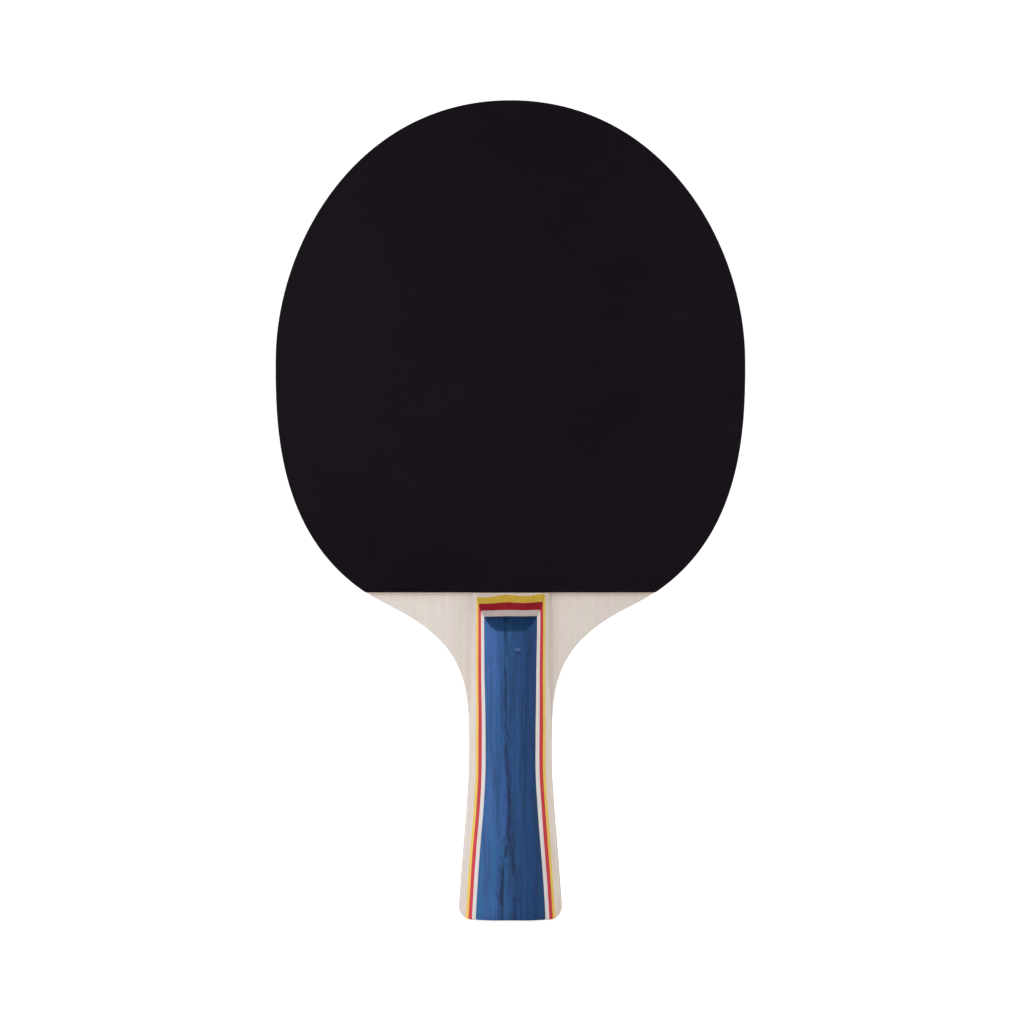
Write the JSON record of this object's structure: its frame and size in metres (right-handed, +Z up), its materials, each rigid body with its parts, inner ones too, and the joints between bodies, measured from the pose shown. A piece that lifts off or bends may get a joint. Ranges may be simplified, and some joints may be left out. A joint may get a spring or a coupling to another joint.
{
  "type": "table tennis paddle",
  "caption": "Laminated wooden blade with a flared oval handle and a sponge-backed rubber sheet on each face, for hitting a table tennis ball.",
  "frame": {"origin": "centre of the flat butt end of the handle", "axes": "+Z up the handle to the head, +X across the faces to the right as the black face is looked at, -Y out of the black face"},
  "size_m": [0.15, 0.0228, 0.2615],
  "materials": {
    "core_wood": "bare sawn edge",
    "cross_wood": "bare end grain",
    "face_wood": "sanded, unvarnished",
    "sponge": "open cut foam",
    "black_rubber": "smooth, slightly dull",
    "red_rubber": "smooth, slightly glossy",
    "scale_wood": "sanded, unvarnished",
    "yellow_veneer": "dyed and sanded",
    "red_veneer": "dyed and sanded",
    "white_veneer": "bleached and sanded",
    "blue_wood": "stained and sanded, satin"
  },
  "bodies": {
    "root": {"blade_core": "core_wood", "front_cross_ply": "cross_wood", "back_cross_ply": "cross_wood", "front_face_ply": "face_wood", "back_face_ply": "face_wood", "front_sponge": "sponge", "back_sponge": "sponge", "front_topsheet": "black_rubber", "back_topsheet": "red_rubber", "front_scale_base": "scale_wood", "back_scale_base": "scale_wood", "front_yellow_veneer": "yellow_veneer", "back_yellow_veneer": "yellow_veneer", "front_red_veneer": "red_veneer", "back_red_veneer": "red_veneer", "front_white_veneer": "white_veneer", "back_white_veneer": "white_veneer", "front_blue_crown": "blue_wood", "back_blue_crown": "blue_wood"}
  },
  "joints": []
}
